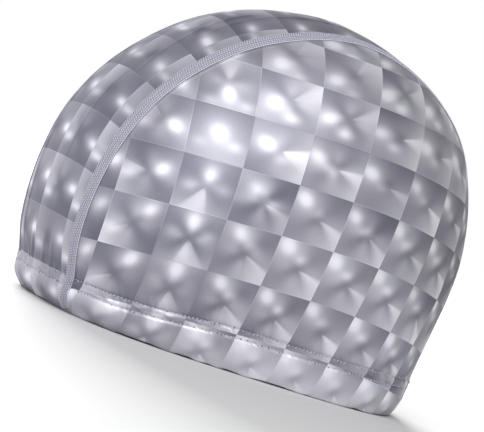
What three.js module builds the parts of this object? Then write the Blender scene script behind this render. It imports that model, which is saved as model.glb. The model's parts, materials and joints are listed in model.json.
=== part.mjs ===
// Swim cap: a stretch cap of coated cloth in the form that it has when worn.
// It stands on its rim. Millimetres, +Z up, -Y the forehead, +Y the nape,
// +X the wearer's left. The origin is under the middle of the cap, at the rim.

import * as THREE from 'three';
import { mergeVertices } from 'three/addons/utils/BufferGeometryUtils.js';

// Driving dimensions of the whole cap
const crownHeight = 156.6;
const frontReach = 117;
const backReach = 109;
const sideReach = 78;

// Cloth, and the hem that is folded inwards along the rim
const clothThickness = 1.2;
const hemThickness = 2.4;
const hemHeightFront = 15;
const hemHeightBack = 19;
const hemSwell = 1.3;

// Flat seams between the centre panel and the side panels
const seamWidth = 5.4;
const seamThickness = 1.8;
const seamRise = 0.4;
const seamSpan = 36;
const joinGap = 0.3;

// How finely the cloth is divided
const fanSteps = 32;
const sideRows = 12;
const centreColumns = 8;

// The dome, a row for each level. The level is an angle: its sine is the share of
// the crown's height, its cosine the share of a reach. The other columns say how
// full the cap is there, as shares of the reaches, and how square its outline is.
const domeSections = [
  { level: 0, front: 0.781, back: 0.7, side: 0.9, squareness: 2.86 },
  { level: 6, front: 0.848, back: 0.725, side: 0.953, squareness: 2.84 },
  { level: 14, front: 0.911, back: 0.77, side: 1.003, squareness: 2.77 },
  { level: 25, front: 0.982, back: 0.87, side: 1.065, squareness: 2.6 },
  { level: 40, front: 1.062, back: 0.996, side: 1.146, squareness: 2.33 },
  { level: 55, front: 1.1, back: 1.11, side: 1.23, squareness: 2.14 },
  { level: 70, front: 1.153, back: 1.13, side: 1.308, squareness: 2.06 },
  { level: 90, front: 1.122, back: 0.978, side: 1.354, squareness: 2.05 },
];

// A seam's way over the cap, a row for each fan angle, which turns from the front
// hem line (0) over the crown (90) to the back hem line (180). The offset from the
// middle line is a share of the seams' span. The first and last row are the rim.
const rimFan = 10;
const seamRoute = [
  { fan: -rimFan, offset: 0.74 },
  { fan: 0, offset: 0.89 },
  { fan: 12, offset: 0.935 },
  { fan: 25, offset: 0.97 },
  { fan: 36, offset: 0.985 },
  { fan: 50, offset: 0.955 },
  { fan: 66, offset: 0.908 },
  { fan: 78, offset: 0.845 },
  { fan: 90, offset: 0.7 },
  { fan: 100, offset: 0.62 },
  { fan: 112, offset: 0.58 },
  { fan: 130, offset: 0.575 },
  { fan: 155, offset: 0.62 },
  { fan: 180, offset: 0.68 },
  { fan: 180 + rimFan, offset: 0.7 },
];

// The hem from the rim up, a row for each share of its height: how much of the
// swell the outside has there, and whether the folded cloth still backs it.
const hemSections = [
  { share: 0, swell: 0, folded: true },
  { share: 0.25, swell: 0.8, folded: true },
  { share: 0.5, swell: 1, folded: true },
  { share: 0.76, swell: 0.35, folded: true },
  { share: 0.93, swell: 0.1, folded: true },
  { share: 1, swell: 0, folded: false },
];

// The front stretch of the hem, as shares of the front reach, over which its
// height grows from the front value to the back value
const hemGrowStart = 0.74;
const hemGrowEnd = 0.21;

// A seam band's section, a row for each share of half its width
const seamSections = [
  { across: -1, rise: 0.2 },
  { across: -0.65, rise: 1 },
  { across: 0.65, rise: 1 },
  { across: 1, rise: 0.2 },
];

// Natural cubic spline through one column of a table
function columnCurve(rows, keyName, valueName) {
  const keys = rows.map((row) => row[keyName]);
  const values = rows.map((row) => row[valueName]);
  const count = keys.length;
  const bend = new Array(count).fill(0);
  const carry = new Array(count).fill(0);
  for (let i = 1; i < count - 1; i += 1) {
    const span = keys[i + 1] - keys[i - 1];
    const ratio = (keys[i] - keys[i - 1]) / span;
    const pivot = ratio * bend[i - 1] + 2;
    const slopeAfter = (values[i + 1] - values[i]) / (keys[i + 1] - keys[i]);
    const slopeBefore = (values[i] - values[i - 1]) / (keys[i] - keys[i - 1]);
    bend[i] = (ratio - 1) / pivot;
    carry[i] = ((6 * (slopeAfter - slopeBefore)) / span - ratio * carry[i - 1]) / pivot;
  }
  const curvature = new Array(count).fill(0);
  for (let i = count - 2; i > 0; i -= 1) {
    curvature[i] = bend[i] * curvature[i + 1] + carry[i];
  }
  return (key) => {
    let i = 0;
    while (i < count - 2 && key > keys[i + 1]) i += 1;
    const span = keys[i + 1] - keys[i];
    const after = (key - keys[i]) / span;
    const before = 1 - after;
    const bow = (before ** 3 - before) * curvature[i] + (after ** 3 - after) * curvature[i + 1];
    return before * values[i] + after * values[i + 1] + (bow * span * span) / 6;
  };
}

const fullness = {
  front: columnCurve(domeSections, 'level', 'front'),
  back: columnCurve(domeSections, 'level', 'back'),
  side: columnCurve(domeSections, 'level', 'side'),
  squareness: columnCurve(domeSections, 'level', 'squareness'),
};
const seamOffsetShare = columnCurve(seamRoute, 'fan', 'offset');

const mix = (from, to, share) => from + (to - from) * share;

function smoothStep(share) {
  const held = Math.min(Math.max(share, 0), 1);
  return held * held * (3 - 2 * held);
}

// The oval outline of one level, the skin being moved inwards by inset
function outlineAt(levelRadians, inset) {
  const level = THREE.MathUtils.radToDeg(levelRadians);
  const shrink = Math.cos(levelRadians);
  return {
    front: (frontReach * fullness.front(level) - inset) * shrink,
    back: (backReach * fullness.back(level) - inset) * shrink,
    side: (sideReach * fullness.side(level) - inset) * shrink,
    power: fullness.squareness(level),
  };
}

function isOutside(point, inset) {
  const rise = point.z / (crownHeight - inset);
  if (rise >= 1) return true;
  const outline = outlineAt(Math.asin(Math.max(rise, 0)), inset);
  const reach = point.y < 0 ? outline.front : outline.back;
  const across = Math.abs(point.x / outline.side) ** outline.power;
  const along = Math.abs(point.y / reach) ** outline.power;
  return across + along > 1;
}

// The place where a path from inside the cap meets the skin
function meetSkin(path, inset) {
  let near = 0;
  let far = frontReach + backReach;
  const halvings = 48;
  for (let i = 0; i < halvings; i += 1) {
    const middle = (near + far) / 2;
    if (isOutside(path(middle), inset)) far = middle;
    else near = middle;
  }
  return path(near);
}

// The skin at a level and a turn about the vertical axis
function dialSkin(levelRadians, turn, inset) {
  const outline = outlineAt(levelRadians, inset);
  const along = Math.sin(turn);
  const across = Math.cos(turn);
  const reach = along < 0 ? outline.front : outline.back;
  const sum = Math.abs(across / outline.side) ** outline.power
    + Math.abs(along / reach) ** outline.power;
  const radius = sum ** (-1 / outline.power);
  const height = (crownHeight - inset) * Math.sin(levelRadians);
  return new THREE.Vector3(radius * across, radius * along, height);
}

function hemHeight(y) {
  const start = -frontReach * hemGrowStart;
  const end = -frontReach * hemGrowEnd;
  return mix(hemHeightFront, hemHeightBack, smoothStep((y - start) / (end - start)));
}

// Stations along a strip that runs from the front rim over the crown to the back rim
const stations = [];
for (const hem of hemSections) stations.push({ ...hem, facing: -1, fan: -rimFan * (1 - hem.share) });
for (let i = 1; i < fanSteps; i += 1) stations.push({ fan: (180 * i) / fanSteps });
for (const hem of [...hemSections].reverse()) {
  stations.push({ ...hem, facing: 1, fan: 180 + rimFan * (1 - hem.share) });
}

const seamOffset = (station) => seamSpan * seamOffsetShare(station.fan);

function stripPoint(station, x, inset) {
  if (station.facing !== undefined) {
    return meetSkin((r) => {
      const y = station.facing * r;
      return new THREE.Vector3(x, y, station.share * hemHeight(y));
    }, inset);
  }
  const fan = THREE.MathUtils.degToRad(station.fan);
  return meetSkin((r) => {
    const y = -r * Math.cos(fan);
    return new THREE.Vector3(x, y, hemHeight(y) + r * Math.sin(fan));
  }, inset);
}

// Insets of a cloth panel's two skins: the hem swells outwards and is folded inside
const outerInset = (station) => -hemSwell * (station.swell ?? 0);
function innerInset(station) {
  return outerInset(station) + (station.folded ? hemThickness : clothThickness);
}

// A grid of points over a strip, a row for each station
function stripSkin(columns, columnX, insetOf) {
  return stations.map((station) => columns.map(
    (column) => stripPoint(station, columnX(station, column), insetOf(station, column)),
  ));
}

// A grid of points over the left side panel: the hem rows first, then rows that
// rise from the hem line to the seam. Its columns fan out from corner to corner.
function sideSkin(insetOf) {
  const edgeX = (station) => seamOffset(station) + seamWidth / 2 + joinGap;
  const edgePoint = (station, inset) => stripPoint(station, edgeX(station), inset);
  const grid = [];
  for (const hem of hemSections) {
    const front = { ...hem, facing: -1, fan: -rimFan * (1 - hem.share) };
    const back = { ...hem, facing: 1, fan: 180 + rimFan * (1 - hem.share) };
    const inset = insetOf(hem);
    const frontEdge = edgePoint(front, inset);
    const backEdge = edgePoint(back, inset);
    const frontTurn = Math.atan2(frontEdge.y, frontEdge.x);
    const backTurn = Math.atan2(backEdge.y, backEdge.x);
    const row = [];
    for (let i = 0; i <= fanSteps; i += 1) {
      const turn = mix(frontTurn, backTurn, i / fanSteps);
      row.push(meetSkin((r) => {
        const y = r * Math.sin(turn);
        return new THREE.Vector3(r * Math.cos(turn), y, hem.share * hemHeight(y));
      }, inset));
    }
    row[0] = frontEdge;
    row[fanSteps] = backEdge;
    grid.push(row);
  }
  const inset = insetOf({});
  const dial = (point) => ({
    level: Math.asin(point.z / (crownHeight - inset)),
    turn: Math.atan2(point.y, point.x),
  });
  const hemLine = grid[grid.length - 1];
  for (let j = 1; j <= sideRows; j += 1) {
    const row = hemLine.map((foot, i) => {
      if (i === 0 || i === fanSteps) return foot.clone();
      const top = edgePoint({ fan: (180 * i) / fanSteps }, inset);
      if (j === sideRows) return top;
      const low = dial(foot);
      const high = dial(top);
      const share = j / sideRows;
      return dialSkin(mix(low.level, high.level, share), mix(low.turn, high.turn, share), inset);
    });
    grid.push(row);
  }
  return grid;
}

// A closed wall between an outer and an inner grid of the same size
function wallGeometry(outer, inner) {
  const rows = outer.length;
  const columns = outer[0].length;
  const points = [...outer.flat(), ...inner.flat()];
  const corner = (skin, row, column) => skin * rows * columns + row * columns + column;
  const faces = [];
  const addQuad = (a, b, c, d) => faces.push([a, b, c], [a, c, d]);
  for (let i = 0; i < rows - 1; i += 1) {
    for (let j = 0; j < columns - 1; j += 1) {
      addQuad(corner(0, i, j), corner(0, i, j + 1), corner(0, i + 1, j + 1), corner(0, i + 1, j));
      addQuad(corner(1, i, j), corner(1, i + 1, j), corner(1, i + 1, j + 1), corner(1, i, j + 1));
    }
  }
  const last = { row: rows - 1, column: columns - 1 };
  for (let i = 0; i < rows - 1; i += 1) {
    addQuad(corner(0, i, 0), corner(0, i + 1, 0), corner(1, i + 1, 0), corner(1, i, 0));
    addQuad(corner(1, i, last.column), corner(1, i + 1, last.column),
      corner(0, i + 1, last.column), corner(0, i, last.column));
  }
  for (let j = 0; j < columns - 1; j += 1) {
    addQuad(corner(1, 0, j), corner(1, 0, j + 1), corner(0, 0, j + 1), corner(0, 0, j));
    addQuad(corner(0, last.row, j), corner(0, last.row, j + 1),
      corner(1, last.row, j + 1), corner(1, last.row, j));
  }
  return closedGeometry(points, faces);
}

// A geometry with shared vertices, no collapsed faces, and all faces pointing out
function closedGeometry(points, faces) {
  const raw = new THREE.BufferGeometry();
  raw.setAttribute('position', new THREE.Float32BufferAttribute(
    points.flatMap((point) => [point.x, point.y, point.z]), 3));
  raw.setIndex(faces.flat());
  const mergeDistance = 0.001;
  const merged = mergeVertices(raw, mergeDistance);
  const index = merged.getIndex();
  const place = merged.getAttribute('position');
  const kept = [];
  let volume = 0;
  const at = [new THREE.Vector3(), new THREE.Vector3(), new THREE.Vector3()];
  for (let i = 0; i < index.count; i += 3) {
    const face = [index.getX(i), index.getX(i + 1), index.getX(i + 2)];
    if (new Set(face).size < 3) continue;
    face.forEach((vertex, k) => at[k].fromBufferAttribute(place, vertex));
    volume += at[0].dot(at[1].clone().cross(at[2]));
    kept.push(face);
  }
  if (volume < 0) kept.forEach((face) => face.reverse());
  merged.setIndex(kept.flat());
  merged.computeVertexNormals();
  return merged;
}

const mirrored = (grid) => grid.map((row) => row.map(
  (point) => new THREE.Vector3(-point.x, point.y, point.z),
));

const coatedCloth = { color: 0xa5a3af, roughness: 0.35, metalness: 0.6 };
const seamThread = { color: 0x8f8e98, roughness: 0.85, metalness: 0 };

function namedMesh(name, outer, inner, finish) {
  const mesh = new THREE.Mesh(wallGeometry(outer, inner), new THREE.MeshStandardMaterial(finish));
  mesh.name = name;
  return mesh;
}

function centrePanel() {
  const shares = [];
  for (let j = 0; j <= centreColumns; j += 1) shares.push(mix(-1, 1, j / centreColumns));
  const columnX = (station, share) => share * (seamOffset(station) - seamWidth / 2 - joinGap);
  return namedMesh('centre_panel', stripSkin(shares, columnX, outerInset),
    stripSkin(shares, columnX, innerInset), coatedCloth);
}

function sidePanel(name, place) {
  return namedMesh(name, place(sideSkin(outerInset)), place(sideSkin(innerInset)), coatedCloth);
}

// A seam band stands a little proud of the cloth. In the hem it is as deep as the hem.
function seamBand(name, place) {
  const columnX = (station, row) => seamOffset(station) + (row.across * seamWidth) / 2;
  const outside = (station, row) => outerInset(station) - seamRise * row.rise;
  const inside = (station) => outerInset(station)
    + (station.folded ? hemThickness : seamThickness - seamRise);
  return namedMesh(name, place(stripSkin(seamSections, columnX, outside)),
    place(stripSkin(seamSections, columnX, inside)), seamThread);
}

const asModelled = (grid) => grid;
const cap = new THREE.Group();
cap.add(
  centrePanel(),
  sidePanel('left_side_panel', asModelled),
  sidePanel('right_side_panel', mirrored),
  seamBand('left_seam', asModelled),
  seamBand('right_seam', mirrored),
);

// The origin goes under the middle of the cap
const bounds = new THREE.Box3().setFromObject(cap);
cap.position.y = -(bounds.min.y + bounds.max.y) / 2;

export default cap;
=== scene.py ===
"""Looks of a stretch swim cap of coated cloth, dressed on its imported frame.

Metres, +Z up, -Y the forehead, +Y the nape, +X the wearer's left. The cap stands
on its rim, and the origin is under its middle.
"""

import json
import logging
import math
from collections.abc import Callable
from dataclasses import dataclass, field
from enum import Enum
from functools import cache

import bmesh
import bpy
import numpy as np
from mathutils import Matrix, Vector

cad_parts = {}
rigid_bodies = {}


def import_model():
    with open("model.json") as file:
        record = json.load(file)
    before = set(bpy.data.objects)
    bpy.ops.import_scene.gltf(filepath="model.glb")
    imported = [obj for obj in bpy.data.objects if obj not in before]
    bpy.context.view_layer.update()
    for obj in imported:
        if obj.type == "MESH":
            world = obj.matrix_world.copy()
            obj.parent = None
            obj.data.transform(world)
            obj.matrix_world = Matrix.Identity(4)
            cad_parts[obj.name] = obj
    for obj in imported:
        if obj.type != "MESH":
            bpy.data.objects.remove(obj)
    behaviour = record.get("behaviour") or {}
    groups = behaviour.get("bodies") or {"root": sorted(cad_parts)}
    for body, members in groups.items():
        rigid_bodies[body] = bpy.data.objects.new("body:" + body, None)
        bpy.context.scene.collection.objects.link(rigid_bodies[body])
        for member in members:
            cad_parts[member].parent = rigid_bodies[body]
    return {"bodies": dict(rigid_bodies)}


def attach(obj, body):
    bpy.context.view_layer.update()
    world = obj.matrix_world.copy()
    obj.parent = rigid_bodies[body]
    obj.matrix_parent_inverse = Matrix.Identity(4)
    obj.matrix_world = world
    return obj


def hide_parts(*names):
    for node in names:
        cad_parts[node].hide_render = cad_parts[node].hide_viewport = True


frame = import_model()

logging.basicConfig(level=logging.INFO, format="%(message)s")
log = logging.getLogger("swim_cap")

Triple = tuple[float, float, float]
MM = 0.001
SEED = 20

# The fan angle below the hem line that the hem's own height spans
RIM_FAN = 10.0

# How often the search for the skin halves its span, and the cap's very top, where
# the outline shrinks to a point
SKIN_HALVINGS = 34
NEAR_TOP = 0.99999

# Points nearer than the first are merged, and edges under the second are dropped
MERGE_GAP = 2e-6
DROP_EDGE = 1e-6

# Each level of the dome: its angle, how full the cap is there in front, at the
# back and at the sides as shares of the reaches, and how square its outline is
DOME_COLUMNS = ("level", "front", "back", "side", "squareness")
DOME_SECTIONS = (
    (0, 0.781, 0.7, 0.9, 2.86),
    (6, 0.848, 0.725, 0.953, 2.84),
    (14, 0.911, 0.77, 1.003, 2.77),
    (25, 0.982, 0.87, 1.065, 2.6),
    (40, 1.062, 0.996, 1.146, 2.33),
    (55, 1.1, 1.11, 1.23, 2.14),
    (70, 1.153, 1.13, 1.308, 2.06),
    (90, 1.122, 0.978, 1.354, 2.05),
)

# The seams' way over the cap: fan angle from the front hem line, and offset from
# the middle line as a share of the seams' span
SEAM_ROUTE = (
    (-RIM_FAN, 0.8),
    (0, 0.9),
    (12, 0.935),
    (25, 0.97),
    (36, 0.985),
    (50, 0.955),
    (66, 0.908),
    (78, 0.845),
    (90, 0.7),
    (100, 0.62),
    (112, 0.58),
    (130, 0.575),
    (155, 0.62),
    (180, 0.68),
    (180 + RIM_FAN, 0.7),
)

# The hem's swell outwards: share of the hem's height, share of the full swell
HEM_SWELL = ((0, 0), (0.25, 0.75), (0.5, 0.8), (0.72, 0.45), (0.86, 0.2), (1, 0))


class Side(Enum):
    """The side of the cap that a piece is on, with the sign of its x."""

    LEFT = 1
    RIGHT = -1

    @property
    def word(self) -> str:
        """The side's name at the start of a piece's name."""
        return self.name.lower()


class Curve:
    """A natural cubic spline through the rows of a short table."""

    def __init__(self, keys: tuple[float, ...], values: tuple[float, ...]) -> None:
        """Solves the spline's curvatures.

        Args:
            keys: rising places of the rows.
            values: the value at each place.
        """
        self.keys = np.array(keys, float)
        self.values = np.array(values, float)
        gaps = np.diff(self.keys)
        slopes = np.diff(self.values) / gaps
        count = len(self.keys)
        system = np.eye(count)
        right = np.zeros(count)
        for i in range(1, count - 1):
            system[i, i - 1 : i + 2] = gaps[i - 1], 2 * (gaps[i - 1] + gaps[i]), gaps[i]
            right[i] = 6 * (slopes[i] - slopes[i - 1])
        self.curvature = np.linalg.solve(system, right)

    def __call__(self, key: np.ndarray) -> np.ndarray:
        """The spline's value.

        Args:
            key: places along the table.

        Returns:
            The value at each place.
        """
        i = np.clip(np.searchsorted(self.keys, key) - 1, 0, len(self.keys) - 2)
        span = self.keys[i + 1] - self.keys[i]
        after = (key - self.keys[i]) / span
        before = 1 - after
        bow = (before**3 - before) * self.curvature[i]
        bow = bow + (after**3 - after) * self.curvature[i + 1]
        return before * self.values[i] + after * self.values[i + 1] + bow * span**2 / 6


def smooth_step(share: np.ndarray) -> np.ndarray:
    """A soft step from 0 to 1 as share goes from 0 to 1."""
    held = np.clip(share, 0, 1)
    return held * held * (3 - 2 * held)


def bell(distance: np.ndarray, width: float) -> np.ndarray:
    """A bell of height 1 at distance 0."""
    return np.exp(-((distance / width) ** 2))


def soft_noise(place: np.ndarray, pitch: float, seed: int) -> np.ndarray:
    """Smooth noise between about -1 and 1 along a line.

    Args:
        place: places along the line.
        pitch: distance between the noise's knots.
        seed: which noise.

    Returns:
        The noise at each place.
    """
    knots = np.random.default_rng(seed).uniform(-1, 1, 512)
    at = place / pitch + 256
    low = np.clip(np.floor(at).astype(int), 0, 510)
    share = smooth_step(at - low)
    return knots[low] * (1 - share) + knots[low + 1] * share


def arc_of(line: np.ndarray) -> np.ndarray:
    """The distance along a line of points at each of them."""
    return np.concatenate([[0], np.cumsum(np.linalg.norm(np.diff(line, axis=0), axis=1))])


@dataclass(frozen=True)
class CapForm:
    """The smooth form of the worn cap, which every piece follows."""

    crown_height: float = 0.1566
    front_reach: float = 0.117
    back_reach: float = 0.109
    side_reach: float = 0.078
    hem_front: float = 0.015
    hem_back: float = 0.019
    hem_grow_start: float = 0.74
    hem_grow_end: float = 0.21
    hem_swell: float = 0.0013
    hem_thickness: float = 0.0024
    cloth_thickness: float = 0.0012
    seam_span: float = 0.036
    seam_width: float = 0.0054
    brow_start: float = 0.45
    brow_span: float = 0.35
    brow_swell: float = 0.001
    brow_draw: float = 0.0005
    curves: dict[str, Curve] = field(default_factory=dict)

    def __post_init__(self) -> None:
        """Makes the curves of the tables."""
        columns = list(zip(*DOME_SECTIONS))
        for name, values in zip(DOME_COLUMNS[1:], columns[1:]):
            self.curves[name] = Curve(columns[0], values)
        self.curves["seam"] = Curve(*zip(*SEAM_ROUTE))

    def outline(self, level: np.ndarray) -> tuple[np.ndarray, ...]:
        """The oval outline of each level.

        Args:
            level: angles in radians.

        Returns:
            Its reaches to the front, back and side, and its squareness.
        """
        degrees = np.degrees(level)
        shrink = np.cos(level)
        front = self.front_reach * self.curves["front"](degrees) * shrink
        back = self.back_reach * self.curves["back"](degrees) * shrink
        side = self.side_reach * self.curves["side"](degrees) * shrink
        return front, back, side, self.curves["squareness"](degrees)

    def fullness(self, point: np.ndarray) -> np.ndarray:
        """How far out points are.

        Args:
            point: the points.

        Returns:
            Under 1 inside the skin, and over 1 outside it.
        """
        rise = np.clip(point[..., 2] / self.crown_height, 0, 0.999999)
        front, back, side, power = self.outline(np.arcsin(rise))
        reach = np.where(point[..., 1] < 0, front, back)
        across = np.abs(point[..., 0] / side) ** power
        return across + np.abs(point[..., 1] / reach) ** power + (point[..., 2] >= self.crown_height)

    def meet(self, path: Callable[[np.ndarray], np.ndarray], shape: tuple[int, ...]) -> np.ndarray:
        """Where paths from inside the cap meet its skin.

        Args:
            path: the points at given distances along the paths.
            shape: the shape of the array of paths.

        Returns:
            The points on the skin.
        """
        near = np.zeros(shape)
        far = np.full(shape, self.front_reach + self.back_reach)
        for _ in range(SKIN_HALVINGS):
            middle = (near + far) / 2
            outside = self.fullness(path(middle)) > 1
            far = np.where(outside, middle, far)
            near = np.where(outside, near, middle)
        return path(near)

    def normal(self, point: np.ndarray) -> np.ndarray:
        """The outward direction of the skin.

        Args:
            point: points on the skin.

        Returns:
            Their normals.
        """
        step = 0.05 * MM
        slope = np.empty_like(point)
        for axis in range(3):
            ahead = point.copy()
            behind = point.copy()
            ahead[..., axis] += step
            behind[..., axis] -= step
            slope[..., axis] = self.fullness(ahead) - self.fullness(behind)
        slope[..., 2] = np.where(point[..., 2] > self.crown_height - 2 * step, 1, slope[..., 2])
        return slope / np.maximum(np.linalg.norm(slope, axis=-1, keepdims=True), 1e-12)

    def hem_height(self, y: np.ndarray) -> np.ndarray:
        """The height of the hem's upper stitch row.

        Args:
            y: places from front to back.

        Returns:
            The height at each.
        """
        start = -self.front_reach * self.hem_grow_start
        end = -self.front_reach * self.hem_grow_end
        return self.hem_front + (self.hem_back - self.hem_front) * smooth_step((y - start) / (end - start))

    def fan_of(self, point: np.ndarray) -> np.ndarray:
        """How far points are round from the front hem line over the crown.

        Args:
            point: points on the form.

        Returns:
            Their fan angles in degrees, from 0 to 180 between the hem lines.
        """
        above = point[..., 2] - self.hem_height(point[..., 1])
        fan = np.degrees(np.arctan2(above, -point[..., 1]))
        in_hem = RIM_FAN * above / self.hem_height(point[..., 1])
        return np.where(above >= 0, fan, np.where(point[..., 1] < 0, in_hem, 180 - in_hem))

    def seam_offset(self, fan: np.ndarray) -> np.ndarray:
        """The seams' distance from the middle line at each fan angle."""
        return self.seam_span * self.curves["seam"](fan)

    def swell(self, share: np.ndarray) -> np.ndarray:
        """How far the hem's outside swells at each share of its height."""
        shares, swells = zip(*HEM_SWELL)
        return self.hem_swell * np.maximum(Curve(shares, swells)(np.clip(share, 0, 1)), 0)

    def front_swell(self, point: np.ndarray) -> np.ndarray:
        """How far the hem stands out at the forehead, and draws in above its stitches.

        Args:
            point: points on the form.

        Returns:
            The distance that the cloth stands out.
        """
        share = point[..., 2] / self.hem_height(point[..., 1])
        front = smooth_step((-point[..., 1] / self.front_reach - self.brow_start) / self.brow_span)
        swell = self.brow_swell * bell(share - 0.45, 0.35)
        return front * (swell - self.brow_draw * bell(share - 1.25, 0.45))

    def outward(self, point: np.ndarray) -> np.ndarray:
        """The outward direction of the cloth, which is level at the rim.

        Args:
            point: points on the form.

        Returns:
            Their directions.
        """
        normal = self.normal(point)
        normal[..., 2] *= smooth_step(point[..., 2] / self.hem_height(point[..., 1]))
        return normal / np.linalg.norm(normal, axis=-1, keepdims=True)

    def placed(self, point: np.ndarray, side: Side) -> np.ndarray:
        """Puts points on a side of the cap, over the origin.

        Args:
            point: points on the form's left side.
            side: the side that they go to.

        Returns:
            The points in the frame.
        """
        placed = point.copy()
        placed[..., 0] *= side.value
        placed[..., 1] -= self.middle_y()
        return placed

    def strip(self, stations: "Stations", x: np.ndarray) -> np.ndarray:
        """Points of a strip that runs from the front rim over the crown to the back rim.

        Args:
            stations: the rows of the strip.
            x: the distance from the middle line, a row for each station.

        Returns:
            The points on the skin.
        """
        facing = stations.facing[:, None]
        share = stations.share[:, None]
        fan = np.radians(stations.fan)[:, None]

        def path(reach: np.ndarray) -> np.ndarray:
            """Points level outwards in the hems, and along the fan between them.

            Args:
                reach: how far along its path each point lies.

            Returns:
                The points.
            """
            y = np.where(facing != 0, facing * reach, -reach * np.cos(fan))
            hem = self.hem_height(y)
            z = np.where(facing != 0, share * hem, hem + reach * np.sin(fan))
            return np.stack([x, y, z], -1)

        return self.meet(path, x.shape)

    def ring(self, share: float, below: float, turns: np.ndarray) -> np.ndarray:
        """Points round the hem.

        Args:
            share: share of the hem's height.
            below: how far below that share the points lie.
            turns: turns about the vertical axis, in radians.

        Returns:
            The points on the skin.
        """

        def path(reach: np.ndarray) -> np.ndarray:
            """Points outwards at the row's height."""
            y = reach * np.sin(turns)
            return np.stack([reach * np.cos(turns), y, share * self.hem_height(y) - below], -1)

        return self.meet(path, turns.shape)

    def dial(self, level: np.ndarray, turn: np.ndarray) -> np.ndarray:
        """Points on the skin.

        Args:
            level: their levels in radians.
            turn: their turns about the vertical axis, in radians.

        Returns:
            The points.
        """
        front, back, side, power = self.outline(level)
        along = np.sin(turn)
        reach = np.where(along < 0, front, back)
        total = np.abs(np.cos(turn) / side) ** power + np.abs(along / reach) ** power
        radius = total ** (-1 / power)
        height = self.crown_height * np.sin(level) + 0 * radius
        return np.stack([radius * np.cos(turn), radius * along, height], -1)

    def middle_y(self) -> float:
        """The place of the form's middle, which goes over the origin.

        Returns:
            Its distance from the form's own axis, along y.
        """
        levels = np.radians(np.linspace(0, 60, 241))
        front, back, _, _ = self.outline(levels)
        return float((back.max() - front.max()) / 2)


@dataclass(frozen=True)
class Stations:
    """The rows of a strip from the front rim over the crown to the back rim."""

    facing: np.ndarray
    share: np.ndarray
    fan: np.ndarray

    @classmethod
    def spread(cls, hem_shares: np.ndarray, crown_rows: int) -> "Stations":
        """Rows for the front hem, the crown and the back hem.

        Args:
            hem_shares: shares of the hem's height, from 0 at the rim to 1.
            crown_rows: how many rows lie between the two hems.

        Returns:
            The stations.
        """
        crown = np.linspace(0, 180, crown_rows + 2)[1:-1]
        zero = np.zeros(crown_rows)
        ones = np.ones(len(hem_shares))
        front_fan = -RIM_FAN * (1 - hem_shares)
        back_fan = 180 + RIM_FAN * (1 - hem_shares[::-1])
        return cls(
            np.concatenate([-ones, zero, ones]),
            np.concatenate([hem_shares, zero + 1, hem_shares[::-1]]),
            np.concatenate([front_fan, crown, back_fan]),
        )


# Soft folds of a side panel: distance along the cap of its lower end, lower and upper
# height, lean, half width and height of the fold, in millimetres but for the lean
FOLD_COLUMNS = ("along", "low", "high", "lean", "width", "rise")
SIDE_FOLDS = (
    (41, 14, 44, 0.12, 1.5, 0.65),
    (47, 18, 62, 0.1, 1.3, -0.55),
    (53, 12, 56, 0.05, 1.7, 0.7),
    (63, 16, 70, 0.05, 1.7, 0.6),
    (-96, 22, 31, -0.9, 2.6, -0.4),
    (-27, 24, 33, 1.1, 2.4, -0.3),
    (58, 112, 140, -0.5, 2.0, 0.5),
    (50, 122, 146, -0.9, 1.6, 0.45),
    (67, 104, 130, -0.3, 1.8, 0.45),
)

# Creases of the centre panel: fan angles of its ends, and distance from the middle
# line at each end, half width and height, in millimetres
CREASE_COLUMNS = ("first_fan", "last_fan", "first_x", "last_x", "width", "rise")
CENTRE_CREASES = (
    (44, 74, 15, 7, 0.7, 0.55),
    (58, 92, 17, 9, 0.8, 0.55),
    (20, 50, 5, 9, 0.9, 0.3),
    (14, 84, -23, -21, 0.9, 0.5),
    (30, 96, -28, -25, 0.8, 0.4),
    (0, 40, -21, -24, 0.9, 0.5),
    (76, 104, 3, -6, 1.3, 0.35),
    (-8, 12, -9, -6, 1.6, 0.5),
    (-9, 8, 4, 7, 1.8, 0.5),
    (-8, 10, 14, 16, 1.5, 0.4),
)


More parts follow.
